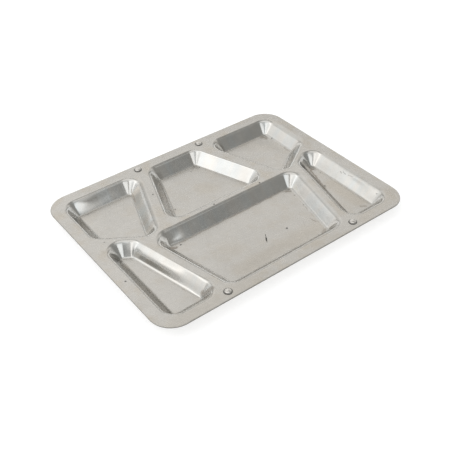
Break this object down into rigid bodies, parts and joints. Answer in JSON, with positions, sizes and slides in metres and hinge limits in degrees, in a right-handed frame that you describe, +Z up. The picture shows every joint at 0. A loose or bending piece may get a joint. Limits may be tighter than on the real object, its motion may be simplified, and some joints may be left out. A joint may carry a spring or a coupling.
{
  "type": "compartment food tray",
  "caption": "Rectangular pressed stainless food tray with sloped-wall compartments of mixed outline, a flat turned-under rim and small round studs for stacking.",
  "frame": {"origin": "under the middle of the tray, on the plane of the well floors' undersides that it stands on", "axes": "+X along the long side to the right, +Y to the back row of three wells, +Z up out of the wells"},
  "size_m": [0.394, 0.296, 0.0197],
  "materials": {
    "sheet_steel": "satin rolled sheet, brighter on the drawn walls, lightly scratched",
    "stud_steel": "bright turned steel"
  },
  "bodies": {
    "root": {"tray_pressing": "sheet_steel", "stacking_stud_back_left": "stud_steel", "stacking_stud_back_right": "stud_steel", "stacking_stud_front_left": "stud_steel", "stacking_stud_front_right": "stud_steel"}
  },
  "joints": []
}
